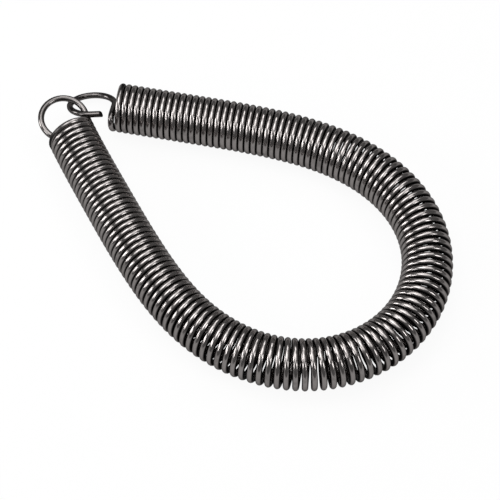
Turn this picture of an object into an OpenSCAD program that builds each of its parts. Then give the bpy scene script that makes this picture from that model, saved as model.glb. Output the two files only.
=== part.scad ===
// Long close-wound extension spring, laid flat and bent round into a ring,
// with its two end hooks linked. One continuous wire, so one solid.
// The ring lies on the XY plane, its centre over the origin.

/* [Wire] */
// Wire diameter
wire_d = 2; // [1.6:0.1:2.4]
// Tightest bend in the wire, to its centre
bend_r = 2; // [1.6:0.1:2.4]

/* [Coil] */
// Outside diameter of the coil
coil_od = 16; // [13:0.1:20]
// Number of turns
coil_count = 135; // [110:1:165]
// Clearance between neighbouring turns on the inner side of the ring
turn_gap = 0.02; // [0.01:0.01:0.1]

/* [Ring] */
// Angle the coil turns through from one end to the other
ring_turn = 234.3; // [228:0.1:240]
// Direction the first end of the coil faces
ring_face = -151.3; // [-180:0.1:180]

/* [Hooks] */
// How much wider than the coil the hooks are opened
hook_ease = 0.6; // [0.4:0.1:1]
// Straight neck of the side hook
neck_l = 4.2; // [3.5:0.1:4.4]
// How far the side hook's tip tucks in beside the coil
tip_tuck = 1; // [0.8:0.1:1.4]
// Length of the crossing hook's loop, in degrees
cross_loop = 275; // [260:1:280]
// Gap between the crossing hook's tail and its root
tail_gap = 0.4; // [0.2:0.1:1]
// Gap where the crossing hook passes the side hook's root
link_gap = 0.16; // [0.1:0.02:0.3]
// Gap where the crossing hook passes over the side hook's neck
over_gap = 0.48; // [0.44:0.02:0.6]
// How far the last half turn is splayed away from the coil, in degrees
end_splay = 1; // [0.5:0.1:3]

/* [Hidden] */
$fn = 48;

wire_r = wire_d / 2;
coil_r = coil_od / 2 - wire_r;
hook_r = coil_r + hook_ease / 2;
// Each half turn is half a torus; this is the angle between two halves.
half_turn = neat(180 - 2 * asin((wire_d + turn_gap) / (4 * coil_r)));
// Share of the tightest bend at each tenth of the coil. The hooked ends stay
// almost straight and the middle of the coil takes the bend.
share = [[0, 0.1], [0.1, 0], [0.2, 0.14], [0.3, 0.59], [0.4, 0.86], [0.5, 1],
    [0.6, 0.97], [0.7, 0.64], [0.8, 0.21], [0.9, 0], [1, 0]];
share_sum = total([for (i = [0:coil_count - 1]) lookup(place(i), share)]);

// Crossing hook, from the splayed end of the coil over its centre. Past the
// seat it rides beside the side hook's neck and over it.
cross_roll = 10.5 + end_splay;
cross_bend = 118.5;
cross_neck = 0.97 * coil_r;
cross_tilt = 85.5;
cross_own = rolled(moved(curved(rolled([[0, 0, 0], spin_z(0)], cross_roll), cross_bend, bend_r),
    [0, 0, cross_neck], spin_z(0)), cross_tilt);
seat = curved(cross_own, 270, hook_r)[0];
tail = curved(cross_own, cross_loop, hook_r);
tail_l = -tail[0] * (tail[1] * [0, 0, 1]) - wire_d - tail_gap;

// Side hook: its neck drops by neck_drop from where it leaves the coil.
neck_drop = 0.88 * bend_r;
side_start = 180 - asin((seat[2] - wire_d - over_gap + neck_drop) / coil_r);
side_roll = 97.1 + 15 * max(wire_d - 2, 0);
side_bend = 101.3;
side_tilt = -80.7;
side_loop = 180 + asin((bend_r + neck_l + tip_tuck - wire_d) / hook_r);
side_root = coil_r * [1 + cos(side_start), 0, sin(side_start)];

// Where the second end of the coil lies, seen from the first, and its heading:
// the crossing hook's seat falls beside the side hook's neck.
seat_side = -120.7;
seat_spot = side_root - [0.14, neck_l - 2.2, 0]
    + sqrt(pow(wire_d + link_gap, 2) - pow(seat[2] - side_root[2], 2)) * unit(seat_side);
cross_face = ring_turn + half_turn - end_splay - 180;
splayed = 2 * coil_r * (unit(cross_face + end_splay) - unit(cross_face));
hooked = seat_spot - splayed - spin_z(cross_face) * seat;
far_end = [hooked[0], hooked[1], ring_turn];
// Peak bend per turn, lopsidedness and sharpness that close the ring.
fit = closed([ring_turn / share_sum, 0, 1], 8);
// Turn angles at the inner joints.
step = steps();

// Wire bends are joined by balls a hair larger than the wire.
ball_r = wire_r + 0.003;
nib = 0.01;

block = 12;

function total(v, i = 0, s = 0) = i == len(v) ? s : total(v, i + 1, s + v[i]);
function place(i) = (i + 0.5) / coil_count;

function unit(a) = [cos(a), sin(a), 0];

// An angle is nudged by at most 0.01 degrees so that its sine and cosine,
// written with six digits, still turn without stretching. The turns of the
// coil then meet exactly; what a nudge takes is given back at the next turn.
function six(x) = let (p = pow(10, 6 - ceil(log(abs(x) + 1e-12)))) round(x * p) / p;
function slack(a) = abs(pow(six(cos(a)), 2) + pow(six(sin(a)), 2) - 1);
function neat(a) = let (
    c = [for (k = [-20:20]) a + k * 0.0005],
    m = min([for (x = c) slack(x)]))
    [for (x = c) if (slack(x) == m) x][0];
function steps(i = 0, owed = 0, v = []) = i == coil_count ? v : let (
    want = half_turn - bend(i, fit) + owed,
    got = neat(want))
    steps(i + 1, want - got, concat(v, [got]));

// Bend of turn i of the coil.
function bend(i, u) = u[0] * pow(max(lookup(place(i), share), 1e-9), u[2])
    * (1 + u[1] * (2 * place(i) - 1));

// Centres of the wire down the coil, from one inner joint to the next.
function along(p, a) = [p[0] + 2 * coil_r * cos(a), p[1] + 2 * coil_r * sin(a)];
function walk(u, i = 0, p = [0, 0], a = 0) = i == coil_count ? [p[0], p[1], a]
    : walk(u, i + 1, along(along(p, a), a + half_turn), a + bend(i, u));
function outer(u) = [for (i = 0, p = [0, 0], a = 0; i < coil_count;
    p = along(along(p, a), a + half_turn), a = a + bend(i, u), i = i + 1) along(p, a)];

// Newton's method on the three things that must meet at the linked ends.
function miss(u) = walk(u) - far_end;
function slope(u, f, d) = (miss(u + d) - f) / 0.0001;
function closed(u, n) = n == 0 ? u : let (
    f = miss(u),
    a = slope(u, f, [0.0001, 0, 0]),
    b = slope(u, f, [0, 0.0001, 0]),
    c = slope(u, f, [0, 0, 0.0001]),
    d = a * cross(b, c))
    closed(u - [f * cross(b, c), f * cross(c, a), f * cross(a, b)] / d, n - 1);

// Poses along a wire: a place and three axes. The wire runs along the third
// axis and bends towards the first.
function spin_x(a) = [[1, 0, 0], [0, cos(a), -sin(a)], [0, sin(a), cos(a)]];
function spin_y(a) = [[cos(a), 0, sin(a)], [0, 1, 0], [-sin(a), 0, cos(a)]];
function spin_z(a) = [[cos(a), -sin(a), 0], [sin(a), cos(a), 0], [0, 0, 1]];
function moved(f, p, m) = [f[0] + f[1] * p, f[1] * m];
function curved(f, a, r) = moved(f, [r * (1 - cos(a)), 0, r * sin(a)], spin_y(a));
function rolled(f, a) = [f[0], f[1] * spin_z(a)];

side_loop_at = rolled(moved(curved(rolled([side_root, spin_y(180 - side_start) * spin_x(180)],
    side_roll), side_bend, bend_r), [0, 0, neck_l], spin_z(0)), side_tilt);
last = walk(fit);
cross_loop_at = [[last[0], last[1], 0] + splayed + spin_z(cross_face) * cross_own[0],
    spin_z(cross_face) * cross_own[1]];

// Extent of the ring, so that it can be centred.
turned = spin_z(ring_face);
function loop_ends(f) = let (
    c = turned * (f[0] + f[1] * [hook_r, 0, 0]),
    n = turned * f[1] * [0, 1, 0])
    [for (s = [-1, 1]) [for (k = [0, 1]) c[k] + s * hook_r * sqrt(1 - n[k] * n[k])]];
edge = concat([for (p = outer(fit)) turned * [p[0], p[1], 0]],
    loop_ends(side_loop_at), loop_ends(cross_loop_at));
edge_x = [for (p = edge) p[0]];
edge_y = [for (p = edge) p[1]];
centre = [(min(edge_x) + max(edge_x)) / 2, (min(edge_y) + max(edge_y)) / 2];

// Half a turn, standing on the XZ plane from the origin outward.
module half(up, a = 180)
    translate([coil_r, 0, 0]) rotate([up ? 90 : -90, 0, 0]) rotate_extrude(angle = a)
        translate([coil_r, 0]) circle(d = wire_d);

// Turn i, upper half first.
module turn(i) {
    half(true, i == 0 ? side_start - nib / coil_r * 180 / PI : 180);
    translate([2 * coil_r, 0, 0]) rotate([0, 0, outer_step(i)]) half(false);
}

function outer_step(i) = i == coil_count - 1 ? neat(half_turn - end_splay) : half_turn;

// Puts its children at the start of turn b, from the start of turn a.
module onward(a, b) {
    if (a < b)
        translate([2 * coil_r, 0, 0]) rotate([0, 0, half_turn])
            translate([2 * coil_r, 0, 0]) rotate([0, 0, -step[a]])
                onward(a + 1, b) children();
    else children();
}

// The turns are built in blocks, each from its own first turn.
module coil() color("dimgray")
    for (b = [0:block:coil_count - 1]) onward(0, b)
        union() for (i = [b:min(b + block, coil_count) - 1]) onward(b, i) turn(i);

// A bend in the wire from the origin, up and over towards +X.
module curve(a, r, open_end = false) {
    e = nib / r * 180 / PI;
    sphere(r = ball_r);
    translate([r, 0, 0]) rotate([90, 0, 0]) rotate([0, 0, open_end ? 180 - a : 180 - a + e])
        rotate_extrude(angle = open_end ? a - e : a - 2 * e) translate([r, 0]) circle(d = wire_d);
    translate([r * (1 - cos(a)), 0, r * sin(a)]) rotate([0, a, 0]) children();
}

// A straight length of wire from the origin up.
module straight(l, open_end = false) {
    sphere(r = ball_r);
    translate([0, 0, nib]) cylinder(d = wire_d, h = open_end ? l - nib : l - 2 * nib);
    translate([0, 0, l]) children();
}

// Hook that leaves the side of the coil, its loop ending beside the coil.
module side_hook() color("dimgray")
    translate(side_root) rotate([180, 180 - side_start, 0]) rotate([0, 0, side_roll])
            curve(side_bend, bend_r) straight(neck_l) rotate([0, 0, side_tilt])
                curve(side_loop, hook_r, true);

// Hook that crosses over the centre of the coil, with a straight tail.
module cross_hook() color("dimgray")
    rotate([0, 0, cross_roll]) curve(cross_bend, bend_r) straight(cross_neck) rotate([0, 0, cross_tilt])
        curve(cross_loop, hook_r) straight(tail_l, true);

module spring() translate([-centre[0], -centre[1], coil_r + wire_r]) rotate([0, 0, ring_face]) {
    coil();
    side_hook();
    onward(0, coil_count - 1) translate([2 * coil_r, 0, 0]) rotate([0, 0, outer_step(coil_count - 1)])
        translate([2 * coil_r, 0, 0]) rotate([0, 0, 180]) cross_hook();
}

spring();
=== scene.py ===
# Long close-wound extension spring of dark drawn wire, lying bent round into a
# ring with its two end hooks linked. The wire is drawn along the route that the
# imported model's own sizes give.
from math import asin, ceil, cos, degrees, pi, radians, sin, sqrt, tau

import bpy
from mathutils import Matrix, Vector, kdtree
from numpy import array, interp
from numpy.linalg import solve


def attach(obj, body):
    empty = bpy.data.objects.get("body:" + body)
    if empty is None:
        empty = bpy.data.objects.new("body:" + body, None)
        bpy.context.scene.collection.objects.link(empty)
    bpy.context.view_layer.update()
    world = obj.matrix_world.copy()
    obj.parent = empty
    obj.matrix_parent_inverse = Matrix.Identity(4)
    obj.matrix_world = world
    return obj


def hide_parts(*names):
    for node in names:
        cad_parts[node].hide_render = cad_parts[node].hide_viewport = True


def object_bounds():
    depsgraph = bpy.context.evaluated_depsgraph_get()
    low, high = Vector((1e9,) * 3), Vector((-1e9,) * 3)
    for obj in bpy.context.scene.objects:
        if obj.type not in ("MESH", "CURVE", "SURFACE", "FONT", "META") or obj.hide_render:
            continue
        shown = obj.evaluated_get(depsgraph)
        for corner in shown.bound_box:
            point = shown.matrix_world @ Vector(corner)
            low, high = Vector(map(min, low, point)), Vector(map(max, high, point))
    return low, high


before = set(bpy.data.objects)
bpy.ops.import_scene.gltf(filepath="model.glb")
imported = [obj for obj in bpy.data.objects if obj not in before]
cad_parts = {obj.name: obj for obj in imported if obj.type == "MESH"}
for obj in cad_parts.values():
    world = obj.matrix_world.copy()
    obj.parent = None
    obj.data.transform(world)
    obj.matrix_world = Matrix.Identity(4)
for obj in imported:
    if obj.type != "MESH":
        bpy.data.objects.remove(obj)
cadLow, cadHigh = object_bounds()
print("frame loaded")

mm = 0.001


# ---------- wire route
coil = {
    "wireRadius": 1 * mm,
    "bendRadius": 2 * mm,  # tightest bend, to the wire's centre
    "radius": 7 * mm,  # to the wire's centre
    "turns": 135,
    "gap": 0.02 * mm,  # between turns, on the ring's inner side
    "ringTurn": 234.3,  # how far the coil turns from end to end
    "ringFace": -151.3,  # where its first end faces
    # share of the tightest bend, at every tenth of the coil
    "bendShares": (0.1, 0, 0.14, 0.59, 0.86, 1, 0.97, 0.64, 0.21, 0, 0),
    "closingSteps": 8,  # of Newton's method
    "stepsPerHalf": 20,
    "sides": 14,
}

hooks = {
    "loopRadius": coil["radius"] + 0.3 * mm,
    "sideRoll": 97.1,
    "sideBend": 101.3,
    "sideNeck": 4.2 * mm,
    "sideTilt": -80.7,
    "tipTuck": 1 * mm,  # how far the side hook's tip tucks in beside the coil
    "neckDrop": 0.88 * coil["bendRadius"],
    "crossRoll": 11.5,
    "crossBend": 118.5,
    "crossNeck": 0.97 * coil["radius"],
    "crossTilt": 85.5,
    "crossLoop": 275,
    "tailGap": 0.4 * mm,
    "linkGap": 0.16 * mm,
    "overGap": 0.48 * mm,
    "seatTurn": 270,  # where on its loop the crossing hook seats by the side hook
    "seatSide": -120.7,
    "seatBack": (0.14 * mm, 2 * mm, 0),  # of the seat, out along the side hook's neck
    "splay": 1,  # of the last half turn
    "step": 0.5 * mm,
}


def heading(angle):
    return Vector((cos(radians(angle)), sin(radians(angle)), 0))


def spun(angle, axis):
    return Matrix.Rotation(radians(angle), 4, axis)


# The wire runs along a pose's Z and bends towards its X. Each move adds the
# points that it passes and gives the pose at its end.
def bendWire(pose, angle, radius, points, steps=0):
    turn = radians(angle)
    steps = steps or ceil(turn * radius / hooks["step"])
    for i in range(1, steps + 1):
        a = turn * i / steps
        points.append(pose @ Vector((radius * (1 - cos(a)), 0, radius * sin(a))))
    end = Matrix.Translation((radius * (1 - cos(turn)), 0, radius * sin(turn)))
    return pose @ end @ spun(angle, "Y")


def runWire(pose, length, points):
    steps = ceil(length / hooks["step"])
    for i in range(1, steps + 1):
        points.append(pose @ Vector((0, 0, length * i / steps)))
    return pose @ Matrix.Translation((0, 0, length))


def crossHook(pose, points):
    pose = bendWire(pose @ spun(hooks["crossRoll"], "Z"), hooks["crossBend"], coil["bendRadius"], points)
    pose = runWire(pose, hooks["crossNeck"], points) @ spun(hooks["crossTilt"], "Z")
    seat = bendWire(pose, hooks["seatTurn"], hooks["loopRadius"], []).translation
    return bendWire(pose, hooks["crossLoop"], hooks["loopRadius"], points), seat


def sideHook(pose, points):
    wireAcross = 2 * coil["wireRadius"]
    reach = coil["bendRadius"] + hooks["sideNeck"] + hooks["tipTuck"] - wireAcross
    loop = 180 + degrees(asin(reach / hooks["loopRadius"]))
    pose = bendWire(pose @ spun(hooks["sideRoll"], "Z"), hooks["sideBend"], coil["bendRadius"], points)
    pose = runWire(pose, hooks["sideNeck"], points) @ spun(hooks["sideTilt"], "Z")
    bendWire(pose, loop, hooks["loopRadius"], points)


def turnBends(fit):
    peak, skew, sharp = fit
    places = [(i + 0.5) / coil["turns"] for i in range(coil["turns"])]
    tenths = [i / 10 for i in range(11)]
    shares = [max(interp(p, tenths, coil["bendShares"]), 1e-9) for p in places]
    return [peak * s ** sharp * (1 + skew * (2 * p - 1)) for s, p in zip(shares, places)]


def coilEnd(fit, halfTurn):
    spot = Vector((0, 0, 0))
    angle = 0
    for bend in turnBends(fit):
        spot += 2 * coil["radius"] * (heading(angle) + heading(angle + halfTurn))
        angle += bend
    return array((spot.x, spot.y, angle))


def closeRing(target, halfTurn):
    # Newton's method on the peak bend, its lopsidedness and its sharpness
    fit = array((coil["ringTurn"] / sum(turnBends((1, 0, 1))), 0, 1))
    nudge = 1e-4
    for _ in range(coil["closingSteps"]):
        miss = coilEnd(fit, halfTurn) - target
        steps = (array((nudge, 0, 0)), array((0, nudge, 0)), array((0, 0, nudge)))
        slopes = array([(coilEnd(fit + s, halfTurn) - target - miss) / nudge for s in steps]).T
        fit = fit - solve(slopes, miss)
    return turnBends(fit)


def wireRoute():
    across = 2 * coil["wireRadius"]
    radius = coil["radius"]
    halfTurn = 180 - 2 * degrees(asin((across + coil["gap"]) / (4 * radius)))
    endFace = coil["ringTurn"] + halfTurn - hooks["splay"] - 180
    tail, seat = crossHook(Matrix(), [])
    tailLength = -tail.translation @ tail.col[2].xyz - across - hooks["tailGap"]

    # where the side hook leaves the coil, and the seat beside it
    lift = seat.z - across - hooks["overGap"] + hooks["neckDrop"]
    sideStart = 180 - degrees(asin(lift / radius))
    root = radius * Vector((1 + cos(radians(sideStart)), 0, sin(radians(sideStart))))
    reach = sqrt((across + hooks["linkGap"]) ** 2 - (seat.z - root.z) ** 2)
    splayed = 2 * radius * (heading(endFace + hooks["splay"]) - heading(endFace))
    beside = root + reach * heading(hooks["seatSide"]) - Vector(hooks["seatBack"])
    farEnd = beside - splayed - spun(endFace, "Z") @ seat
    bends = closeRing(array((farEnd.x, farEnd.y, coil["ringTurn"])), halfTurn)

    route = [root]
    sidePose = Matrix.Translation(root) @ spun(180 - sideStart, "Y") @ spun(180, "X")
    sideHook(sidePose, route)
    route.reverse()
    first = len(route)
    pose = Matrix.Translation(root) @ spun(180 - sideStart, "Y")
    for i, bend in enumerate(bends):
        splay = hooks["splay"] if i == coil["turns"] - 1 else 0
        upper = sideStart if i == 0 else 180
        pose = bendWire(pose, upper, radius, route, coil["stepsPerHalf"])
        pose = bendWire(pose @ spun(180 - halfTurn + splay, "Z"), 180, radius, route, coil["stepsPerHalf"])
        if i < coil["turns"] - 1:
            pose = pose @ spun(180 - halfTurn + bend, "Z")
    last = len(route) - 1
    pose, _ = crossHook(pose, route)
    runWire(pose, tailLength, route)
    print(f"wire route: {len(route)} points, {coil['turns']} turns")
    return route, first, last


def setInFrame(route):
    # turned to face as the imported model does, with its middle over the origin
    turned = [spun(coil["ringFace"], "Z") @ p for p in route]
    low = [min(p[k] for p in turned) - coil["wireRadius"] for k in range(3)]
    high = [max(p[k] for p in turned) + coil["wireRadius"] for k in range(3)]
    middle = Vector(((low[0] + high[0]) / 2, (low[1] + high[1]) / 2, low[2]))
    cadMiddle = Vector(((cadLow[0] + cadHigh[0]) / 2, (cadLow[1] + cadHigh[1]) / 2, cadLow[2]))
    return [p - middle + cadMiddle for p in turned]


# ---------- wire
cutEnd = {
    "lean": 30,  # of the shear cut, in degrees
    "back": 0.72 * mm,  # from the wire's end to the middle of the cut
    "lip": 0.14 * mm,  # width of the rolled edge round the cut
    "crush": 0.07 * mm,  # how deep the torn middle lies
    "points": 4,  # of the route that the cut may reach
    "crease": 35,  # angle over which an edge stays sharp
}


def deselectAll():
    if bpy.context.object and bpy.context.object.mode != "OBJECT":
        bpy.ops.object.mode_set(mode="OBJECT")
    bpy.ops.object.select_all(action="DESELECT")


def makeActive(obj):
    deselectAll()
    obj.select_set(True)
    bpy.context.view_layer.objects.active = obj


def drawWire(route):
    bpy.ops.curve.primitive_nurbs_path_add(location=(0, 0, 0))
    wire = bpy.context.object
    wire.name = "springWire"
    shape = wire.data
    shape.splines.clear()
    line = shape.splines.new("POLY")
    line.points.add(len(route) - 1)
    for point, place in zip(line.points, route):
        point.co = (*place, 1)
    shape.dimensions = "3D"
    shape.twist_mode = "MINIMUM"
    shape.bevel_depth = coil["wireRadius"]
    shape.bevel_resolution = (coil["sides"] - 4) // 2  # adds two sides a step to the plain four
    shape.use_fill_caps = True
    makeActive(wire)
    bpy.ops.object.convert(target="MESH")
    wire = bpy.context.object
    print(f"wire drawn: {len(wire.data.polygons)} faces, UV maps {[u.name for u in wire.data.uv_layers]}")
    return wire


def routeTree(route):
    tree = kdtree.KDTree(len(route))
    for i, point in enumerate(route):
        tree.insert(point, i)
    tree.balance()
    return tree


def selectEnd(wire, tree, end):
    # the faces along the last few points of the wire's own route, and no others near them
    bpy.ops.object.mode_set(mode="OBJECT")
    for face in wire.data.polygons:
        face.select = abs(tree.find(face.center)[1] - end) <= cutEnd["points"]
    for edge in wire.data.edges:
        edge.select = False
    bpy.ops.object.mode_set(mode="EDIT")
    bpy.ops.mesh.select_mode(type="FACE")


def shearEnd(wire, route, tree, end):
    # a slanted cut, its middle torn a little below a rolled lip
    tip = route[end]
    inward = route[2] if end == 0 else route[end - 2]
    along = (inward - tip).normalized()
    across = along.cross(Vector((0, 0, 1))).normalized()
    normal = Matrix.Rotation(radians(-cutEnd["lean"]), 3, across) @ -along
    makeActive(wire)
    selectEnd(wire, tree, end)
    bpy.ops.mesh.bisect(
        plane_co=tip + along * cutEnd["back"], plane_no=normal, use_fill=True, clear_outer=True)
    bpy.ops.mesh.inset(thickness=cutEnd["lip"])
    bpy.ops.transform.translate(value=along * cutEnd["crush"])
    bpy.ops.object.mode_set(mode="OBJECT")
    marks = wire.data.attributes["cut"].data
    for vertex in wire.data.vertices:
        if vertex.select:
            marks[vertex.index].value = 1


def markWire(wire, route, tree, first, last):
    # groove is 1 where a turn faces the turn beside it and 0 on its crown, where the material paints shade;
    # the hook mark is how far painted shade darkens each hook, dimming its highlights
    turn = 2 * coil["stepsPerHalf"]
    fade = steel["hookFade"]
    grooves = []
    hookShades = []
    for vertex in wire.data.vertices:
        point, i, distance = tree.find(vertex.co)
        groove = 0
        if first <= i <= last:
            coilAxis = route[min(i + turn, last)] - route[max(i - turn, first)]
            groove = abs((vertex.co - point).normalized() @ coilAxis.normalized())
        side = min(max((first - i) / fade, 0), 1)
        cross = min(max((i - last) / fade, 0), 1)
        grooves.append(groove)
        hookShades.append(side * steel["hookPaintedShade"][0] + cross * steel["hookPaintedShade"][1])
    for name, values in (("groove", grooves), ("hookShade", hookShades)):
        wire.data.attributes.new(name, "FLOAT", "POINT").data.foreach_set("value", values)
    wire.data.attributes.new("cut", "FLOAT", "POINT")


def springWire():
    route, first, last = wireRoute()
    route = setInFrame(route)
    wire = drawWire(route)
    tree = routeTree(route)
    markWire(wire, route, tree, first, last)
    for end in (0, len(route) - 1):
        shearEnd(wire, route, tree, end)
    print("ends sheared")
    makeActive(wire)
    bpy.ops.object.shade_smooth_by_angle(angle=radians(cutEnd["crease"]))
    return wire, sum((b - a).length for a, b in zip(route, route[1:]))


# ---------- finishes
steel = {
    "base": (0.385, 0.359, 0.35, 1),
    "edge": (0.35, 0.35, 0.35, 1),  # tint of what it mirrors at a glance
    "greaseAndPaintedShade": (0.03, 0.0285, 0.028, 1),  # dark colour: grease smears on the crown and the torn cut, and painted shade in the grooves between turns and on the hooks
    "groove": (0.52, 0.9),  # from the crown's bright steel to the groove's painted shade
    "smear": (0.5, 0.75, 0.35),  # where grease smears show on the crown, and how much
    "smearSize": 3 * mm,
    "hookPaintedShade": (0.55, 0.72),  # share of painted shade on the side hook and on the crossing hook, dimming their highlights
    "hookFade": 6,  # points of the route over which it comes in
    "roughness": (0.13, 0.25),
    # roughness in the grooves between turns
    "grooveRoughness": 0.4,
    "lineWidth": 0.12 * mm,  # of the lines the die leaves along the wire
    "lineLength": 25 * mm,
    "lineDepth": 0.008 * mm,
    "lineBands": (0.3, 0.7),  # from the smoothest line to the roughest
    "lineDetail": 2,
    "smearDetail": 3,
    "cutRoughness": 0.5,
    "cutGrain": 0.15 * mm,
    "cutDetail": 3,
    "cutRelief": 4,  # of the torn grain, in line depths
    "cutBands": (0.3, 0.5),
    "cutDarkening": (0.6, 0.95),  # how far the torn grain darkens towards the dark colour
}


def newMaterial(name):
    material = bpy.data.materials.new(name)
    material.use_nodes = True
    tree = material.node_tree
    tree.nodes.clear()
    return material, tree


def node(tree, kind, **values):
    made = tree.nodes.new("ShaderNode" + kind)
    for key, value in values.items():
        if key in made.inputs:
            made.inputs[key].default_value = value
        else:
            setattr(made, key, value)
    return made


def maths(tree, operation, first, second=0.0):
    made = node(tree, "Math", operation=operation)
    for socket, value in zip(made.inputs, (first, second)):
        if isinstance(value, (int, float)):
            socket.default_value = value
        else:
            tree.links.new(value, socket)
    return made.outputs[0]


def spread(tree, value, low, high, least=0.0, most=1.0):
    made = node(tree, "MapRange", interpolation_type="SMOOTHSTEP")
    for name, number in (("From Min", low), ("From Max", high), ("To Min", least), ("To Max", most)):
        made.inputs[name].default_value = number
    tree.links.new(value, made.inputs["Value"])
    return made.outputs["Result"]


def blend(tree, share, first, second):
    made = node(tree, "Mix", data_type="RGBA")
    tree.links.new(share, made.inputs["Factor"])
    for name, value in (("A", first), ("B", second)):
        socket = next(s for s in made.inputs if s.name == name and s.type == "RGBA")
        if isinstance(value, tuple):
            socket.default_value = value
        else:
            tree.links.new(value, socket)
    return next(s for s in made.outputs if s.type == "RGBA")


def wireLines(tree, wireLength):
    # the wire's UV map runs along it in X and round it in Y
    place = node(tree, "SeparateXYZ")
    tree.links.new(node(tree, "UVMap", uv_map="UVMap").outputs["UV"], place.inputs[0])
    angle = maths(tree, "MULTIPLY", place.outputs["Y"], tau)
    around = coil["wireRadius"] / steel["lineWidth"]
    spot = node(tree, "CombineXYZ")
    values = (
        maths(tree, "MULTIPLY", maths(tree, "COSINE", angle), around),
        maths(tree, "MULTIPLY", maths(tree, "SINE", angle), around),
        maths(tree, "MULTIPLY", place.outputs["X"], wireLength / steel["lineLength"]),
    )
    for socket, value in zip(spot.inputs, values):
        tree.links.new(value, socket)
    lines = node(tree, "TexNoise", Scale=1.0, Detail=steel["lineDetail"])
    tree.links.new(spot.outputs[0], lines.inputs["Vector"])
    return lines.outputs["Fac"]


def drawnSteel(wireLength):
    material, tree = newMaterial("drawnSteel")
    link = tree.links.new
    output = node(tree, "OutputMaterial")
    shader = node(tree, "BsdfPrincipled", Metallic=1.0)
    shader.inputs["Specular Tint"].default_value = steel["edge"]
    lines = wireLines(tree, wireLength)
    places = node(tree, "TexCoord").outputs["Object"]
    smears = node(tree, "TexNoise", Scale=1 / steel["smearSize"], Detail=steel["smearDetail"])
    link(places, smears.inputs["Vector"])
    grain = node(tree, "TexNoise", Scale=1 / steel["cutGrain"], Detail=steel["cutDetail"])
    link(places, grain.inputs["Vector"])

    # painted shade: the grooves between turns and the hooks darken towards the dark colour, along with the
    # grease smears on the crown and the darkened torn cut
    groove = spread(tree, node(tree, "Attribute", attribute_name="groove").outputs["Fac"], *steel["groove"])
    smear = spread(tree, smears.outputs["Fac"], *steel["smear"][:2], 0, steel["smear"][2])
    hookShade = node(tree, "Attribute", attribute_name="hookShade").outputs["Fac"]
    greaseAndPaintedShade = maths(tree, "MAXIMUM", maths(tree, "MAXIMUM", groove, smear), hookShade)
    cut = node(tree, "Attribute", attribute_name="cut").outputs["Fac"]
    patches = spread(tree, grain.outputs["Fac"], *steel["cutBands"], *steel["cutDarkening"])
    torn = maths(tree, "MULTIPLY", cut, patches)
    dirtAndPaintedShade = maths(tree, "MAXIMUM", greaseAndPaintedShade, torn)
    link(blend(tree, dirtAndPaintedShade, steel["base"], steel["greaseAndPaintedShade"]), shader.inputs["Base Color"])

    bright = spread(tree, lines, *steel["lineBands"], *steel["roughness"])
    dulled = maths(tree, "MAXIMUM", bright, maths(tree, "MULTIPLY", groove, steel["grooveRoughness"]))
    rough = maths(tree, "MAXIMUM", dulled, maths(tree, "MULTIPLY", cut, steel["cutRoughness"]))
    link(rough, shader.inputs["Roughness"])

    relief = maths(tree, "MULTIPLY", grain.outputs["Fac"], steel["cutRelief"])
    height = maths(tree, "ADD", lines, maths(tree, "MULTIPLY", cut, relief))
    bump = node(tree, "Bump", Distance=steel["lineDepth"], Strength=1.0)
    link(height, bump.inputs["Height"])
    link(bump.outputs[0], shader.inputs["Normal"])
    link(shader.outputs["BSDF"], output.inputs["Surface"])
    return material


# ---------- stage
studio = {
    "world": 0.13,
    "lamps": (
        # name, towards it, distance, size across, size deep, radiance
        ("tentLamp", (-0.08, 0.12, 0.97), 0.75, 0.88, 0.8, 1.5),
        ("overLamp", (-0.28, 0.1, 0.95), 0.75, 0.36, 0.34, 2.6),
        ("backLamp", (0.17, 0.66, 0.73), 0.75, 0.42, 0.22, 2.4),
        ("leftLamp", (-0.96, 0.09, 0.27), 0.9, 0.25, 0.4, 7.5),
        ("frontLeftLamp", (-0.765, -0.407, 0.5), 0.9, 0.22, 0.34, 5.5),
        ("frontRightLamp", (0.668, -0.418, 0.616), 0.9, 0.22, 0.36, 5),
    ),
    "floorShine": 0.93,  # how much of the floor's white is its own
    "floorMirrored": 0.5,  # its level where the wire mirrors it
    "floorPaint": (0.95, 0.95, 0.95, 1),
    "floorSize": 6,
}

camera = {
    "aim": (2.83 * mm, -7.97 * mm, 8 * mm),
    "azimuth": 0,  # looks along +Y
    "elevation": 58.12,
    "distance": 614.7 * mm,
    "lens": 143.03,
    "sensor": 36,
    "nearest": 10 * mm,
}


def away(azimuth, elevation, distance):
    side = Vector((sin(radians(azimuth)), -cos(radians(azimuth)), 0))
    return distance * (side * cos(radians(elevation)) + Vector((0, 0, sin(radians(elevation)))))


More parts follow.
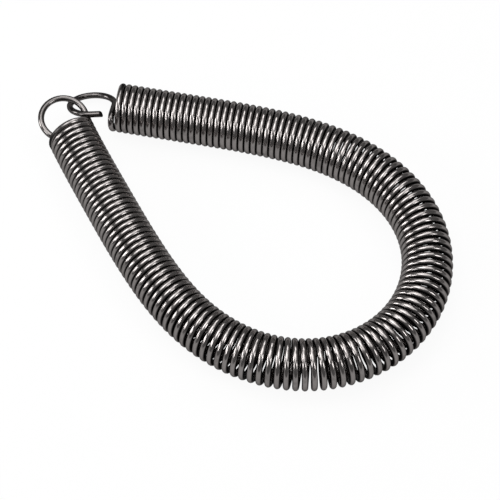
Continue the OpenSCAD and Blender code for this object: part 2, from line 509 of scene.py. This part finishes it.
def addLamp(name, towards, distance, width, depth, radiance):
    bpy.ops.object.light_add(type="AREA", location=distance * Vector(towards).normalized())
    lamp = bpy.context.object
    lamp.name = name
    lamp.data.shape = "RECTANGLE"
    lamp.data.size = width
    lamp.data.size_y = depth
    lamp.data.energy = radiance * pi * width * depth
    lamp.rotation_euler = lamp.location.to_track_quat("Z", "Y").to_euler()


def buildFloor():
    bpy.ops.mesh.primitive_plane_add(size=studio["floorSize"], location=(0, 0, 0))
    floor = bpy.context.object
    floor.name = "floor"
    material, tree = newMaterial("whiteFloor")
    link = tree.links.new
    output = node(tree, "OutputMaterial")
    paint = node(tree, "BsdfDiffuse", Color=studio["floorPaint"])
    glow = node(tree, "Emission", Color=(1, 1, 1, 1))
    rays = node(tree, "LightPath")
    mirrored = maths(tree, "MAXIMUM", rays.outputs["Is Glossy Ray"], rays.outputs["Is Transmission Ray"])
    seen = maths(tree, "MAXIMUM", rays.outputs["Is Camera Ray"], mirrored)
    level = maths(tree, "MULTIPLY", mirrored, studio["floorMirrored"])
    link(maths(tree, "MAXIMUM", rays.outputs["Is Camera Ray"], level), glow.inputs["Strength"])
    mix = node(tree, "MixShader")
    link(maths(tree, "MULTIPLY", seen, studio["floorShine"]), mix.inputs[0])
    link(paint.outputs[0], mix.inputs[1])
    link(glow.outputs[0], mix.inputs[2])
    link(mix.outputs[0], output.inputs["Surface"])
    floor.data.materials.append(material)


def buildStudio():
    world = bpy.data.worlds.new("studio")
    world.use_nodes = True
    level = studio["world"]
    world.node_tree.nodes["Background"].inputs["Color"].default_value = (level, level, level, 1)
    bpy.context.scene.world = world
    for lamp in studio["lamps"]:
        addLamp(*lamp)
    buildFloor()
    bpy.context.scene.view_settings.view_transform = "Standard"
    print(f"studio built: {len(studio['lamps'])} lamps and a floor")


def addCamera():
    aim = Vector(camera["aim"])
    back = away(camera["azimuth"], camera["elevation"], camera["distance"])
    bpy.ops.object.camera_add(location=aim + back)
    made = bpy.context.object
    made.data.lens = camera["lens"]
    made.data.sensor_width = camera["sensor"]
    made.data.clip_start = camera["nearest"]
    made.rotation_euler = (made.location - aim).to_track_quat("Z", "Y").to_euler()
    bpy.context.scene.camera = made


addCamera()
buildStudio()
wire, wireLength = springWire()
wire.data.materials.append(drawnSteel(wireLength))
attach(wire, "root")
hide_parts("spring")
print("spring wire finished")
